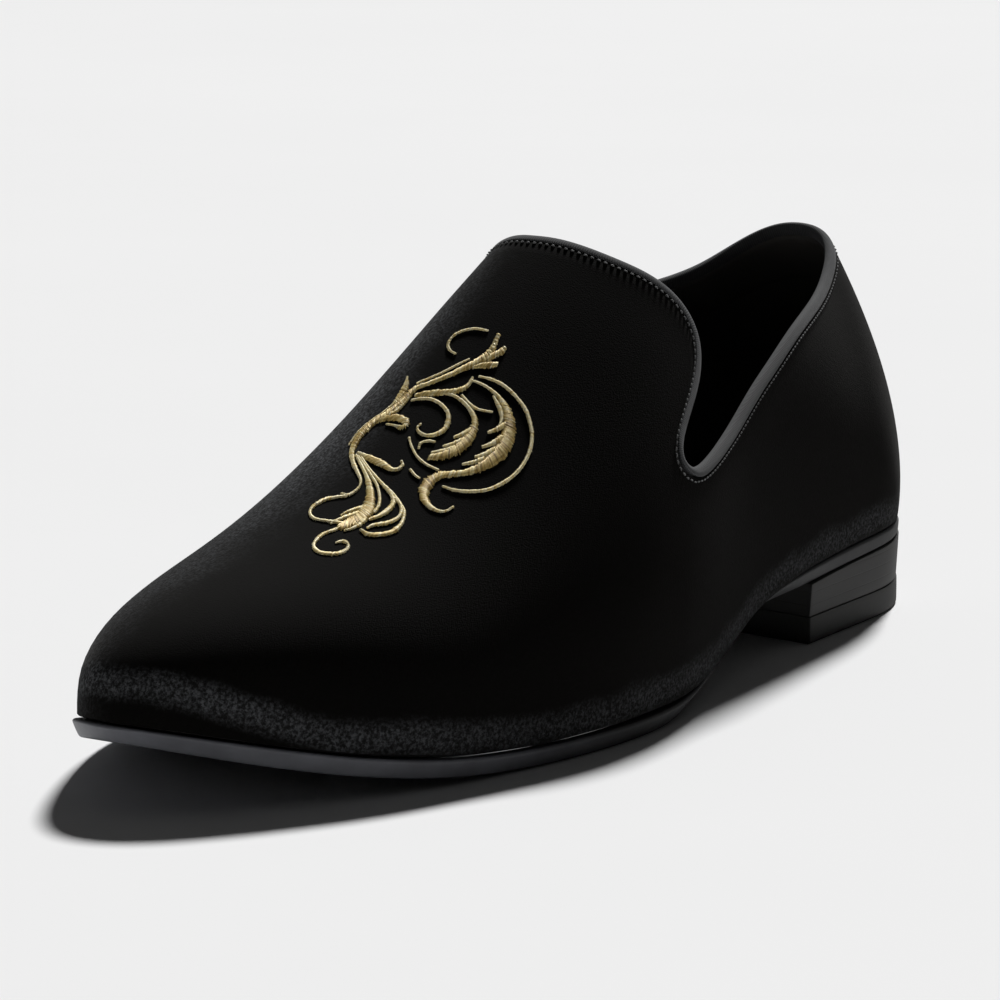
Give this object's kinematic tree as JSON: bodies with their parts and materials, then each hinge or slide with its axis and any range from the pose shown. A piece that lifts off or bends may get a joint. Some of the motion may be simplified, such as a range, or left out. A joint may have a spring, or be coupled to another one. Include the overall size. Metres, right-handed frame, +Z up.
{
  "type": "velvet slipper loafer",
  "caption": "Low-heeled velvet slipper loafer for the left foot, with a bound V-notched topline and a gold scroll on the vamp.",
  "frame": {"origin": "on the floor, in the middle of the heel's ground face", "axes": "+X from heel to toe, +Y to the wearer's left, which is the outer side, +Z up"},
  "size_m": [0.2916, 0.0974, 0.1015],
  "materials": {
    "velvet": "black velvet pile",
    "binding": "dark grey ribbed ribbon",
    "sole_leather": "black dressed edge, satin",
    "heel_stack": "black dressed edge, satin",
    "heel_rubber": "matt",
    "sock_lining": "matt"
  },
  "bodies": {
    "root": {"upper": "velvet", "topline_binding": "binding", "outsole": "sole_leather", "heel_block": "heel_stack", "heel_top_piece": "heel_rubber", "insole": "sock_lining"}
  },
  "joints": []
}
